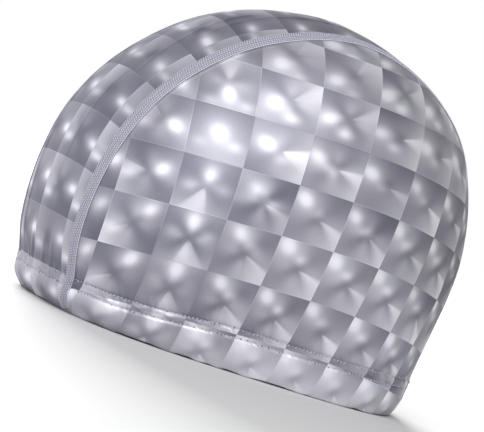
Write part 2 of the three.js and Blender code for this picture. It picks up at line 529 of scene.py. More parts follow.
@dataclass(frozen=True)
class Wrinkles:
    """The small relief that sewing and stretching leave in the cloth."""

    form: CapForm
    row_gap: float = 0.0039
    pinch: float = 0.0004
    pinch_width: float = 0.0006
    puff: float = 0.0007
    puff_length: float = 0.0018
    puff_width: float = 0.0006
    puff_pitch: float = 0.0155
    puff_reach: float = 0.14
    puff_shadow: float = 0.45
    shadow_gap: float = 0.0016
    pull_pitch: float = 0.0024
    crinkle: float = 0.0003
    crinkle_pitch: float = 0.0017
    crinkle_width: float = 0.0055
    ripple: float = 0.00035
    ripple_pitch: float = 0.008
    rim_radius: float = 0.0006
    rim_wave: float = 0.00045
    rim_wave_pitch: float = 0.0045
    rim_wave_height: float = 0.005
    lip: float = 0.00015
    lip_width: float = 0.0005

    def puckers(self, seed: int) -> list[tuple[float, ...]]:
        """The puckers between the stitch rows, the same for all that lies on a hem.

        Args:
            seed: which piece's puckers.

        Returns:
            For each its place, size, tilt, offset from the rows' middle and length.
        """
        random = np.random.default_rng(seed)
        puckers = []
        place = -self.puff_reach
        while place < self.puff_reach:
            size = self.puff * random.uniform(0.5, 1.0)
            tilt = random.uniform(-0.42, -0.12)
            offset = random.uniform(-0.3, 0.5) * MM
            puckers.append((place, size, tilt, offset, self.puff_length * random.uniform(0.7, 1.3)))
            place += self.puff_pitch * random.uniform(0.75, 1.25)
        return puckers

    def hem(self, along: np.ndarray, height: np.ndarray, top: np.ndarray, seed: int) -> np.ndarray:
        """The hem's relief outwards.

        Args:
            along: distance along the hem.
            height: height above the rim.
            top: height of the upper stitch row there.
            seed: which piece's puckers.

        Returns:
            The distance that the skin stands out.
        """
        relief = self.form.swell(height / top)
        low = top - self.row_gap
        middle = (top + low) / 2
        pull = 0.8 + 0.7 * soft_noise(along + 0.8 * (height - middle), self.pull_pitch, seed + 4)
        for row in (top, low):
            relief = relief - self.pinch * pull * bell(height - row, self.pinch_width)
        for place, size, tilt, offset, length in self.puckers(seed):
            shape = size * bell(along - place, length)
            ridge = height - middle - offset - tilt * (along - place)
            relief = relief + shape * bell(ridge, self.puff_width)
            relief = relief - self.puff_shadow * shape * bell(ridge + self.shadow_gap, self.puff_width)
        crinkles = soft_noise(along + 0.6 * height, self.crinkle_pitch, seed + 1)
        relief = relief + self.crinkle * bell(height - middle, self.crinkle_width) * crinkles
        lower = smooth_step(height / (3 * MM)) * smooth_step((top + 2 * MM - height) / (6 * MM))
        ripples = soft_noise(along + 0.4 * height, self.ripple_pitch, seed + 2)
        return relief + self.ripple * lower * ripples

    def wall(self, height: np.ndarray, top: np.ndarray) -> np.ndarray:
        """The wall's thickness: the hem is folded double, and the rest is single.

        Args:
            height: height above the rim.
            top: height of the upper stitch row there.

        Returns:
            The thickness.
        """
        double = self.form.hem_thickness
        single = self.form.cloth_thickness
        return single + (double - single) * (1 - smooth_step((height - top + 1 * MM) / (0.8 * MM)))

    def rim_lift(self, along: np.ndarray, height: np.ndarray, seed: int) -> np.ndarray:
        """How far the soft rim waves up off the floor.

        Args:
            along: distance along the hem.
            height: height above the rim.
            seed: which piece's waves.

        Returns:
            The lift.
        """
        wave = np.maximum(soft_noise(along, self.rim_wave_pitch, seed + 3) + 0.3, 0)
        return self.rim_wave * wave * (1 - smooth_step(height / self.rim_wave_height))

    def rim_round(self, height: np.ndarray) -> np.ndarray:
        """How far the rim's rounding lies inside the wall's faces.

        Args:
            height: height above the rim.

        Returns:
            The distance inwards.
        """
        below = np.clip(self.rim_radius - height, 0, self.rim_radius)
        return self.rim_radius - np.sqrt(np.maximum(self.rim_radius**2 - below**2, 0))


@dataclass
class Grid:
    """A grid of points on the smooth form, with its chart in printed squares."""

    point: np.ndarray
    chart: np.ndarray
    along: np.ndarray


def hem_shares(rows: int, fine_rows: int, top: float, rim_radius: float) -> np.ndarray:
    """Shares of the hem's height, close together at the rounded rim and the stitch rows.

    Args:
        rows: how many rows lie between the rounding and the fine rows.
        fine_rows: how many rows follow the stitches.
        top: the hem's usual height.
        rim_radius: the radius of the rounded rim.

    Returns:
        The rising shares from 0 to 1.
    """
    turns = np.radians(np.array([0, 20, 40, 60, 75]))
    low = rim_radius * (1 - np.cos(turns)) / top
    fine_from = 0.57
    coarse = np.linspace(rim_radius / top, fine_from, rows + 1)[:-1]
    return np.concatenate([low, coarse, np.linspace(fine_from, 1, fine_rows)])


def body_shares(rows: int, even: float) -> np.ndarray:
    """Shares from over 0 to 1, close together at both ends.

    Args:
        rows: how many.
        even: the spacing at the ends as a share of the mean spacing.

    Returns:
        The rising shares.
    """
    share = np.linspace(0, 1, rows + 1)[1:]
    return share - (1 - even) / (2 * math.pi) * np.sin(2 * math.pi * share)


def add_mesh(name: str, points: np.ndarray, faces: list | np.ndarray) -> bpy.types.Object:
    """A new mesh object in the scene.

    Args:
        name: the piece's name.
        points: its vertices.
        faces: its faces as vertex numbers.

    Returns:
        The object.
    """
    mesh = bpy.data.meshes.new(name)
    mesh.from_pydata(points.reshape(-1, 3).tolist(), [], [list(face) for face in faces])
    piece = bpy.data.objects.new(name, mesh)
    bpy.context.scene.collection.objects.link(piece)
    return piece


def grid_faces(rows: int, columns: int, start: int, flipped: bool) -> np.ndarray:
    """The quads of a grid of points.

    Args:
        rows: its rows.
        columns: its columns.
        start: the number of its first point.
        flipped: whether the faces turn the other way.

    Returns:
        The quads as vertex numbers.
    """
    number = start + np.arange(rows * columns).reshape(rows, columns)
    quads = np.stack([number[:-1, :-1], number[:-1, 1:], number[1:, 1:], number[1:, :-1]], -1)
    quads = quads.reshape(-1, 4)
    return quads[:, ::-1] if flipped else quads


def closed_wall(name: str, outer: np.ndarray, inner: np.ndarray, chart: np.ndarray) -> bpy.types.Object:
    """A closed thin wall between an outer and an inner grid.

    Args:
        name: the piece's name.
        outer: the outer grid.
        inner: the inner grid, of the same size.
        chart: each point's place in printed squares.

    Returns:
        The object, with material 0 outside and 1 inside.
    """
    rows, columns = outer.shape[:2]
    size = rows * columns
    number = np.arange(size).reshape(rows, columns)
    loop = np.concatenate([number[0], number[1:, -1], number[-1, -2::-1], number[-2:0:-1, 0]])
    after = np.roll(loop, -1)
    edge = np.stack([after, loop, loop + size, after + size], -1)
    faces = np.concatenate([grid_faces(rows, columns, 0, False), grid_faces(rows, columns, size, True), edge])
    piece = add_mesh(name, np.concatenate([outer.reshape(-1, 3), inner.reshape(-1, 3)]), faces)
    mesh = piece.data
    inside = np.zeros(len(faces), np.int32)
    inside[(rows - 1) * (columns - 1) : 2 * (rows - 1) * (columns - 1)] = 1
    mesh.polygons.foreach_set("material_index", inside)
    loops = np.empty(len(mesh.loops), np.int32)
    mesh.loops.foreach_get("vertex_index", loops)
    places = np.concatenate([chart.reshape(-1, 2)] * 2)[loops]
    mesh.uv_layers.new(name="squares").data.foreach_set("uv", places.astype(np.float32).ravel())
    close_up(piece)
    return piece


def close_up(piece: bpy.types.Object) -> None:
    """Merges points that meet, drops collapsed faces and turns all faces outwards.

    Args:
        piece: the object to close.
    """
    work = bmesh.new()
    work.from_mesh(piece.data)
    bmesh.ops.remove_doubles(work, verts=work.verts, dist=MERGE_GAP)
    bmesh.ops.dissolve_degenerate(work, dist=DROP_EDGE, edges=work.edges)
    if work.calc_volume(signed=True) < 0:
        bmesh.ops.reverse_faces(work, faces=work.faces)
    work.to_mesh(piece.data)
    work.free()
    piece.data.shade_smooth()


# Inputs of the foil's painted light and shade: the focus, where the broad painted key-light highlight lies,
# how far each square's painted spot swings, its size, and the mean tone
FOIL_INPUTS = ("Focus Across", "Focus Up", "Focus Lean", "Swing Across", "Swing Up", "Spot Size", "Level")
NOISE_SEEDS = (1.5, 2.5, 3.5, 4.5, 5.5, 6.5)


class Wire:
    """A number that runs through a node tree, so that a formula is written plainly."""

    def __init__(self, tree: bpy.types.NodeTree, source: bpy.types.NodeSocket) -> None:
        """Wraps an output socket."""
        self.tree = tree
        self.source = source

    def into(self, socket: bpy.types.NodeSocket) -> None:
        """Links this number to an input socket."""
        self.tree.links.new(self.source, socket)

    def math(self, operation: str, *others: "Wire | float") -> "Wire":
        """A Math node on this number.

        Args:
            operation: the node's operation.
            others: its further inputs.

        Returns:
            The result.
        """
        node = self.tree.nodes.new("ShaderNodeMath")
        node.operation = operation
        for socket, value in zip(node.inputs, (self, *others)):
            if isinstance(value, Wire):
                value.into(socket)
            else:
                socket.default_value = value
        return Wire(self.tree, node.outputs[0])

    def __add__(self, other: "Wire | float") -> "Wire":
        """The sum."""
        return self.math("ADD", other)

    def __sub__(self, other: "Wire | float") -> "Wire":
        """The difference."""
        return self.math("SUBTRACT", other)

    def __mul__(self, other: "Wire | float") -> "Wire":
        """The product."""
        return self.math("MULTIPLY", other)

    def __truediv__(self, other: "Wire | float") -> "Wire":
        """The quotient."""
        return self.math("DIVIDE", other)

    def plus_times(self, factor: "Wire | float", term: "Wire | float") -> "Wire":
        """This number times factor, plus term."""
        return self.math("MULTIPLY_ADD", factor, term)

    def squared(self) -> "Wire":
        """The square."""
        return self.math("MULTIPLY", self)

    def bell(self, width: float) -> "Wire":
        """A bell of height 1, this number being a squared distance."""
        return (self * (-1 / width**2)).math("EXPONENT")

    def step(self, low: float, high: float) -> "Wire":
        """A soft step.

        Args:
            low: where it's 0.
            high: where it's 1, which may lie below low.

        Returns:
            The step's value.
        """
        node = self.tree.nodes.new("ShaderNodeMapRange")
        node.interpolation_type = "SMOOTHSTEP"
        self.into(node.inputs["Value"])
        node.inputs["From Min"].default_value = low
        node.inputs["From Max"].default_value = high
        return Wire(self.tree, node.outputs[0])


def mixed_colour(
    tree: bpy.types.NodeTree, share: Wire, first: Triple, second: Triple
) -> bpy.types.NodeSocket:
    """Two colours mixed.

    Args:
        tree: the nodes.
        share: the share of the second colour.
        first: the colour at 0.
        second: the colour at 1.

    Returns:
        The mixed colour's socket.
    """
    mix = tree.nodes.new("ShaderNodeMix")
    mix.data_type = "RGBA"
    share.into(mix.inputs["Factor"])
    mix.inputs["A"].default_value = (*first, 1)
    mix.inputs["B"].default_value = (*second, 1)
    return mix.outputs["Result"]


def new_group(name: str, inputs: dict[str, str], outputs: dict[str, str]) -> tuple:
    """A shader node group with its sockets.

    Args:
        name: the group's name.
        inputs: each input's name and socket type.
        outputs: each output's name and socket type.

    Returns:
        The group, its input node and its output node.
    """
    group = bpy.data.node_groups.new(name, "ShaderNodeTree")
    for label, kind in inputs.items():
        group.interface.new_socket(label, in_out="INPUT", socket_type=kind)
    for label, kind in outputs.items():
        group.interface.new_socket(label, in_out="OUTPUT", socket_type=kind)
    return group, group.nodes.new("NodeGroupInput"), group.nodes.new("NodeGroupOutput")


def white_noise(tree: bpy.types.NodeTree, x: Wire, y: Wire, seed: float) -> Wire:
    """A random number from 0 to 1 for each pair of numbers.

    Args:
        tree: the group's nodes.
        x: the pair's first number.
        y: its second.
        seed: which noise.

    Returns:
        The random number.
    """
    key = tree.nodes.new("ShaderNodeCombineXYZ")
    x.into(key.inputs[0])
    y.into(key.inputs[1])
    key.inputs[2].default_value = seed
    noise = tree.nodes.new("ShaderNodeTexWhiteNoise")
    noise.noise_dimensions = "3D"
    tree.links.new(key.outputs[0], noise.inputs["Vector"])
    return Wire(tree, noise.outputs["Value"])


class SquareMotif:
    """The tone of one square of the foil, in a frame from its middle.

    A painted highlight spot lies towards the focus, the place of the broad painted key-light highlight,
    with fainter painted highlight lobes beside it. A painted reflection wedge spreads from the middle
    to the other side, and dark arms of painted shade cross there.
    """

    def __init__(self, tree: bpy.types.NodeTree, squares: Wire, up: Wire, inputs: list[Wire]) -> None:
        """Finds each point's square and where its painted highlight spot lies.

        Args:
            tree: the group's nodes.
            squares: the place across, in squares.
            up: the place up, in squares.
            inputs: the group's other inputs, in the order of FOIL_INPUTS.
        """
        focus_across, focus_up, lean, swing_across, swing_up, self.spot_size, self.level = inputs
        column, row = squares.math("FLOOR"), up.math("FLOOR")
        self.px, self.py = squares - column - 0.5, up - row - 0.5
        self.away = column + 0.5 - focus_across
        self.below = focus_up + self.away * lean - row - 0.5
        self.up, self.row = up, row
        self.chance = [white_noise(tree, column, row, seed) - 0.5 for seed in NOISE_SEEDS]
        # Where each square's painted highlight spot lies from its middle: towards the focus, farther the
        # farther the square is from it
        self.dx = (self.away * -0.5).math("TANH") * swing_across + self.chance[0] * 0.07
        self.dy = (self.below * 0.55).math("TANH") * swing_up + self.chance[1] * 0.07
        self.far_squared = self.px.squared() + self.py.squared() + 0.0004
        self.far = self.far_squared.math("SQRT")
        self.swing = (self.dx.squared() + self.dy.squared()).math("SQRT")
        self.sideways = self.dx.math("ABSOLUTE")
        self.left, self.right = self.dx.step(0.08, 0.32), self.dx.step(-0.02, -0.4)

    def facing(self, x: Wire, y: Wire) -> Wire:
        """The cosine between a point's direction from the middle and a given one.

        Args:
            x: the given direction's part across.
            y: its part up.

        Returns:
            The cosine.
        """
        reach = (x.squared() + y.squared() + 0.0016).math("SQRT")
        return (self.px * x + self.py * y) / (reach * self.far)

    def spot(self, long: float, wide: float, amount: Wire | float) -> Wire:
        """The painted highlight spot, longer towards the focus.

        Args:
            long: its half length in spot sizes.
            wide: its half width.
            amount: how bright it is.

        Returns:
            Its tone.
        """
        beside, above = self.px - self.dx, self.py - self.dy
        aside = (beside * self.dy - above * self.dx) / (self.swing + 0.02)
        distance = (beside.squared() + above.squared()) * (1 / long**2)
        distance = distance + aside.squared() * (1 / wide**2 - 1 / long**2)
        return (distance / self.spot_size.squared()).bell(1) * amount

    def lobe(self, x: Wire | float, y: Wire | float, flatness: float, width: float, amount: Wire) -> Wire:
        """A faint painted highlight patch.

        Args:
            x: its place across the square.
            y: its place up.
            flatness: how much narrower than wide it is across.
            width: its size in spot sizes.
            amount: how bright it is.

        Returns:
            Its tone.
        """
        distance = ((self.px - x) * flatness).squared() + (self.py - y).squared()
        return (distance / self.spot_size.squared()).bell(width) * amount.math("MAXIMUM", 0.0)

    def lights(self) -> Wire:
        """The painted highlights: the spot, its halo and the lobes beside it.

        Returns:
            Its tone.
        """
        dx, dy, chance = self.dx, self.dy, self.chance
        tone = self.spot(1.12, 0.84, chance[3] * 0.3 + 0.46) + self.spot(2.3, 1.9, 0.18)
        tone = tone + self.lobe(dx + 0.3, dy - 0.2, 0.75, 0.75, dx * -0.5 + chance[4] * 0.2 + 0.14)
        other = self.sideways * -0.8 + chance[0] * 0.15 + 0.16
        tone = tone + self.lobe(dx - 0.3, dy - 0.25, 0.75, 0.75, other)
        flare = self.left * (chance[4] * 0.2 + 0.4)
        return tone + self.lobe(-0.33, chance[2] * -0.1 - 0.17, 0.5, 0.8, flare)

    def wedge(self) -> Wire:
        """The painted reflection wedge that spreads from the middle away from the spot.

        Returns:
            Its tone.
        """
        dx, dy = self.dx, self.dy
        turn = self.chance[2] * 0.5
        wx, wy = dy * turn - dx * 1.1, dx * turn * -1 - dy
        facing = self.facing(wx, wy) + self.chance[5] * 0.06 - self.sideways * 0.16
        wedge = facing.step(0.84, 0.94) * self.far.step(0.02, 0.12) * (self.left * -0.85 + 1.0)
        shaded = self.facing(wy, wx * -1) * dx * 1.8 + 0.2
        fading = (self.far.step(0.9, 0.2) * 0.7 + 0.4) * self.swing.step(0.03, 0.16)
        return wedge * shaded * fading * (self.below.step(-1.6, 0.4) * 0.6 + 0.4)

    def arms(self) -> Wire:
        """The painted shade: dark arms across the middle, and a dark core there.

        Returns:
            Its tone.
        """
        slope = self.px.squared() / self.far_squared
        painted_shade_crossing = (slope * slope - slope) * 8.0 + 1.0
        painted_shade_crossing = painted_shade_crossing * self.far.step(0.05, 0.2) * self.far.step(0.62, 0.26)
        painted_shade_crossing = painted_shade_crossing * (self.chance[4] * 0.1 - self.sideways * 0.2 + 0.12)
        return (painted_shade_crossing - self.far_squared.bell(0.15) * 0.2) * self.swing.step(0.05, 0.3)

    def edge(self) -> Wire:
        """The thin pale line round the square.

        Returns:
            Its tone.
        """
        out = self.px.math("ABSOLUTE").math("MAXIMUM", self.py.math("ABSOLUTE"))
        return out.step(0.48, 0.494) * (self.chance[0] * 0.2 + 0.03)

    def ground(self) -> Wire:
        """The square's mean tone: paler in the hem, more so right of the focus; painted light right of the
        focus;
        painted shade in a band along the hem's stitches and low on the far right; darker far left of the
        focus about a row below it; and random tone.

        Returns:
            Its tone.
        """
        tone = self.row.step(-0.2, -0.8) * (self.right * 0.12 + 0.2) + self.right * 0.09
        tone = tone - (self.up - 0.08).squared().bell(0.11) * 0.14
        tone = tone - self.away.step(4.6, 6.4) * self.below.step(1.2, 2.8) * 0.24
        tone = tone - self.away.step(-2.5, -0.5) * (self.below - 1.3).squared().bell(1.1) * 0.1
        return tone + self.chance[1] * 0.1 + self.level

    def slopes(self) -> Wire:
        """Painted light and shade across the lens: the tone falls off from the middle to the square's sides,
        brighter away from the spot, plus a random tilt.

        Returns:
            Its tone.
        """
        across_tilt = (self.px * self.chance[5] + self.py * self.chance[2]) * 0.3
        towards = self.facing(self.dx, self.dy)
        beside = self.facing(self.dy, self.dx * -1) * self.sideways * -0.45
        painted_light_falloff = towards.squared() * 0.4 - towards * 0.26 + beside - 0.18
        return painted_light_falloff * self.far + across_tilt

    def tone(self) -> Wire:
        """The whole tone with its painted light and shade, held back where it's brightest.

        Returns:
            Its tone.
        """
        tone = self.lights() + self.wedge() + self.arms() + self.edge() + self.slopes() + self.ground()
        return tone - tone.step(0.75, 1.35) * 0.3


@cache
def foil_squares_group() -> bpy.types.NodeTree:
    """The tone of the foil's squares, each a flat lens whose highlights, reflections and shade are painted in
    as tone.

    Returns:
        The group. Its inputs are the place in squares, the focus in squares (where the broad painted
        key-light highlight lies), how it leans, how far the painted highlight spot swings, its size and the
        mean tone. Its output is the tone, from 0 dark to 1 bright, with painted light and shade.
    """
    inputs = {"Squares": "NodeSocketVector"} | {label: "NodeSocketFloat" for label in FOIL_INPUTS}
    tree, entry, end = new_group("foil_squares", inputs, {"Tone": "NodeSocketFloat"})
    split = tree.nodes.new("ShaderNodeSeparateXYZ")
    tree.links.new(entry.outputs["Squares"], split.inputs[0])
    across, up = (Wire(tree, split.outputs[i]) for i in (0, 1))
    motif = SquareMotif(tree, across, up, [Wire(tree, entry.outputs[label]) for label in FOIL_INPUTS])
    motif.tone().into(end.inputs["Tone"])
    return tree


@cache
def knit_grain_group() -> bpy.types.NodeTree:
    """The fine grain of a knit: short uneven threads, as a height and as a shade.

    Returns:
        The group. Its inputs are the place in metres and the grain's pitch in metres.
    """
    inputs = {"Place": "NodeSocketVector", "Pitch": "NodeSocketFloat"}
    tree, entry, end = new_group("knit_grain", inputs, {"Height": "NodeSocketFloat"})
    scale = Wire(tree, entry.outputs["Pitch"]).math("POWER", -1.0)
    noise = tree.nodes.new("ShaderNodeTexNoise")
    noise.inputs["Detail"].default_value = 1.5
    tree.links.new(entry.outputs["Place"], noise.inputs["Vector"])
    scale.into(noise.inputs["Scale"])
    cells = tree.nodes.new("ShaderNodeTexVoronoi")
    tree.links.new(entry.outputs["Place"], cells.inputs["Vector"])
    scale.into(cells.inputs["Scale"])
    height = Wire(tree, noise.outputs[0]) * 0.6 + Wire(tree, cells.outputs["Distance"]) * 0.5
    height.into(end.inputs["Height"])
    return tree


class Finish:
    """What all finishes share: a node material with one Principled BSDF."""

    def start(self, name: str) -> tuple[bpy.types.NodeTree, bpy.types.Node, bpy.types.Material]:
        """A new material.

        Args:
            name: the material's name.

        Returns:
            Its node tree, its Principled BSDF and the material.
        """
        material = bpy.data.materials.new(name)
        material.use_nodes = True
        tree = material.node_tree
        return tree, tree.nodes["Principled BSDF"], material

    def place_group(self, tree: bpy.types.NodeTree, group: bpy.types.NodeTree) -> bpy.types.Node:
        """Places a node group in a material.

        Args:
            tree: the material's nodes.
            group: the group.

        Returns:
            Its node.
        """
        node = tree.nodes.new("ShaderNodeGroup")
        node.node_tree = group
        return node

    def grain(self, tree: bpy.types.NodeTree, pitch: float) -> Wire:
        """The knit's grain on Object coordinates.

        Args:
            tree: the material's nodes.
            pitch: its pitch in metres.

        Returns:
            Its height from 0 to 1.
        """
        coordinates = tree.nodes.new("ShaderNodeTexCoord")
        node = self.place_group(tree, knit_grain_group())
        tree.links.new(coordinates.outputs["Object"], node.inputs["Place"])
        node.inputs["Pitch"].default_value = pitch
        return Wire(tree, node.outputs["Height"])

    def colour_mix(self, tree: bpy.types.NodeTree, share: Wire, dark: Triple, pale: Triple) -> None:
        """Mixes the base colour.

        Args:
            tree: the material's nodes.
            share: the share of the pale colour.
            dark: the colour at 0.
            pale: the colour at 1.
        """
        base = tree.nodes["Principled BSDF"].inputs["Base Color"]
        tree.links.new(mixed_colour(tree, share, dark, pale), base)

    def bump(self, tree: bpy.types.NodeTree, height: Wire, depth: float, strength: float) -> None:
        """Bumps the material by a height.

        Args:
            tree: the material's nodes.
            height: the height from 0 to 1.
            depth: the real depth in metres.
            strength: how strongly the bump shows.
        """
        node = tree.nodes.new("ShaderNodeBump")
        node.inputs["Distance"].default_value = depth
        node.inputs["Strength"].default_value = strength
        height.into(node.inputs["Height"])
        tree.links.new(node.outputs["Normal"], tree.nodes["Principled BSDF"].inputs["Normal"])


@dataclass(frozen=True)
class FoilCloth(Finish):
    """Coated stretch cloth with foil squares, whose highlights, reflections and shade are painted into the
    base colour.
    """

    # The focus is where the broad painted key-light highlight lies, in squares; the swings set how far each
    # square's painted highlight spot lies from its middle
    focus_across: float = -2.48
    focus_up: float = 3.47
    focus_lean: float = 0.3
    swing_across: float = 0.42
    swing_up: float = 0.37
    spot_size: float = 0.14
    level: float = 0.34
    gamma: float = 1.5
    dark: Triple = (0.125, 0.122, 0.165)
    light: Triple = (0.94, 0.93, 1.0)
    metallic: float = 0.5
    roughness: float = 0.4
    shine_gain: float = 0.1
    grain_pitch: float = 0.0006
    grain_tone: float = 0.06
    grain_depth: float = 0.00005
    grain_strength: float = 0.35

    def build(self, name: str) -> bpy.types.Material:
        """The material.

        Args:
            name: its name.

        Returns:
            The material.
        """
        tree, surface, material = self.start(name)
        chart = tree.nodes.new("ShaderNodeUVMap")
        chart.uv_map = "squares"
        squares = self.place_group(tree, foil_squares_group())
        tree.links.new(chart.outputs[0], squares.inputs["Squares"])
        for label in FOIL_INPUTS:
            squares.inputs[label].default_value = getattr(self, label.lower().replace(" ", "_"))
        grain = self.grain(tree, self.grain_pitch)
        # The tone brings the squares' painted highlights, reflections and shade into the base colour
        tone = Wire(tree, squares.outputs["Tone"]) + (grain - 0.5) * self.grain_tone
        tone = tone.math("MAXIMUM", 0.0).math("POWER", self.gamma)
        self.colour_mix(tree, tone, self.dark, self.light)
        rough = tone.plus_times(-self.shine_gain, self.roughness + self.shine_gain / 2)
        rough.into(surface.inputs["Roughness"])
        surface.inputs["Metallic"].default_value = self.metallic
        self.bump(tree, grain, self.grain_depth, self.grain_strength)
        return material


@dataclass(frozen=True)
class SewingThread(Finish):
    """Thread or seam tape: matt, with fine twisted fibres."""

    colour: Triple
    roughness: float = 0.7
    pitch: float = 0.0005
    darkest: float = 0.75
    palest: float = 1.2
    grain_depth: float = 0.0001
    grain_strength: float = 0.6

    def build(self, name: str) -> bpy.types.Material:
        """The material.

        Args:
            name: its name.

        Returns:
            The material.
        """
        tree, surface, material = self.start(name)
        grain = self.grain(tree, self.pitch)
        dark, pale = ([part * c for c in self.colour] for part in (self.darkest, self.palest))
        self.colour_mix(tree, grain, dark, pale)
        surface.inputs["Roughness"].default_value = self.roughness
        self.bump(tree, grain, self.grain_depth, self.grain_strength)
        return material


@dataclass(frozen=True)
class KnitLining(SewingThread):
    """The bare knit on the cap's inside."""

    colour: Triple = (0.3, 0.3, 0.34)
    roughness: float = 0.85
    pitch: float = 0.0008
    darkest: float = 0.7
    palest: float = 1.25
    grain_depth: float = 0.0003
    grain_strength: float = 0.7


def dress(piece: bpy.types.Object, materials: list[bpy.types.Material], node: str | None) -> None:
    """Gives a piece its materials and ties it to the frame.

    Args:
        piece: the piece.
        materials: its materials in the order of its slots.
        node: the solid that it stands for, if any.
    """
    for material in materials:
        piece.data.materials.append(material)
    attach(piece, "root" if "root" in frame["bodies"] else next(iter(frame["bodies"])))
    if node is not None:
        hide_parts(node)
    log.info("%s: %d faces", piece.name, len(piece.data.polygons))


@dataclass
class Panel:
    """What the cloth panels share: from a grid on the form to a finished wall."""

    form: CapForm
    wrinkles: Wrinkles
    side: Side = Side.LEFT
    seed: int = SEED

    def extra_relief(self, point: np.ndarray) -> np.ndarray:
        """A panel's own relief outwards, none if it has no folds."""
        return 0 * point[..., 0]

    def relief(self, point: np.ndarray, along: np.ndarray) -> tuple[np.ndarray, np.ndarray]:
        """How far the cloth stands out from the smooth form.

        Args:
            point: points on the form.
            along: their distance along the hem.

        Returns:
            The relief and the directions in which it stands out.
        """
        top = self.form.hem_height(point[..., 1])
        relief = self.wrinkles.hem(along, point[..., 2], top, self.seed) + self.form.front_swell(point)
        return relief + self.extra_relief(point), self.form.outward(point)

    def wall(self, name: str, grid: Grid) -> bpy.types.Object:
        """Builds a panel's closed wall.

        Args:
            name: the piece's name.
            grid: its points on the smooth form.

        Returns:
            The object.
        """
        relief, normal = self.relief(grid.point, grid.along)
        height = grid.point[..., 2]
        rounding = self.wrinkles.rim_round(height)
        thickness = self.wrinkles.wall(height, self.form.hem_height(grid.point[..., 1]))
        lift = self.wrinkles.rim_lift(grid.along, height, self.seed)
        middle = grid.point + np.stack([0 * lift, 0 * lift, lift], -1)
        outer = middle + normal * (relief - rounding)[..., None]
        inner = middle + normal * (relief - thickness + rounding)[..., None]
        outer, inner = (self.form.placed(face, self.side) for face in (outer, inner))
        return closed_wall(name, outer, inner, grid.chart)

    def stitches(self, name: str, lines: list, sewing: "HemSewing", materials: list) -> bpy.types.Object:
        """Sews rows of stitches on the panel.

        Args:
            name: the piece's name.
            lines: for each row, its points on the form and their distances along the hem.
            sewing: the stitches' sizes.
            materials: the thread's material and the needle holes' painted shade.

        Returns:
            The piece.
        """
        rows = []
        for point, along in lines:
            relief, normal = self.relief(point, along)
            skin = self.form.placed(point + normal * relief[:, None], self.side)
            rows.append((skin, normal * np.array([self.side.value, 1, 1])))
        piece = sewing.sew(name, rows)
        dress(piece, materials, None)
        return piece


@dataclass
class CentrePanel(Panel):
    """The strip from the forehead over the crown to the nape."""

    columns: int = 90
    crown_rows: int = 250
    hem_rows: int = 6
    stitch_rows: int = 22
    tuck: float = 0.0012
    square_width: float = 0.0295
    square_height: float = 0.024
    first_column: float = -0.0045
    first_row: float = 0.017

    def extra_relief(self, point: np.ndarray) -> np.ndarray:
        """The long thin creases over the crown and the soft folds of the hem.

        Args:
            point: points on the form.

        Returns:
            The distance that the cloth stands out.
        """
        fan = self.form.fan_of(point)
        relief = 0 * fan
        for row in CENTRE_CREASES:
            crease = dict(zip(CREASE_COLUMNS, row))
            share = (fan - crease["first_fan"]) / (crease["last_fan"] - crease["first_fan"])
            middle = crease["first_x"] + (crease["last_x"] - crease["first_x"]) * share
            ends = smooth_step(share * 4) * smooth_step((1 - share) * 4)
            relief = relief + crease["rise"] * MM * ends * bell(point[..., 0] / MM - middle, crease["width"])
        return relief

    def build(self, foil: bpy.types.Material, lining: bpy.types.Material) -> bpy.types.Object:
        """Builds the panel.

        Args:
            foil: its outside.
            lining: its inside.

        Returns:
            The piece.
        """
        shares = hem_shares(self.hem_rows, self.stitch_rows, self.form.hem_front, self.wrinkles.rim_radius)
        stations = Stations.spread(shares, self.crown_rows)
        edge = self.form.seam_offset(stations.fan) - self.form.seam_width / 2 + self.tuck
        x = edge[:, None] * np.linspace(-1, 1, self.columns)[None, :]
        point = self.form.strip(stations, x)
        arc = arc_of(point[:, self.columns // 2])[:, None] + 0 * x
        column = (x - self.first_column) / self.square_width
        chart = np.stack([column, (arc - self.first_row) / self.square_height], -1)
        piece = self.wall("centre_cloth", Grid(point, chart, x))
        dress(piece, [foil, lining], "centre_panel")
        return piece

    def hem_lines(self) -> list[tuple[np.ndarray, np.ndarray]]:
        """The stitch rows on the front and back hem, each from seam to seam.

        Returns:
            For each row its points on the form and their distances along the hem.
        """
        lines = []
        for facing, fan in ((-1, 0), (1, 180)):
            edge = float(self.form.seam_offset(np.array([fan]))[0]) - self.form.seam_width / 2
            x = np.linspace(-edge, edge, 200)
            for below in (0, self.wrinkles.row_gap):

                def path(reach: np.ndarray, facing: int = facing, below: float = below) -> np.ndarray:
                    """Points towards the front or the back at the row's height."""
                    y = facing * reach
                    return np.stack([x, y, self.form.hem_height(y) - below], -1)

                lines.append((self.form.meet(path, x.shape), x))
        return lines


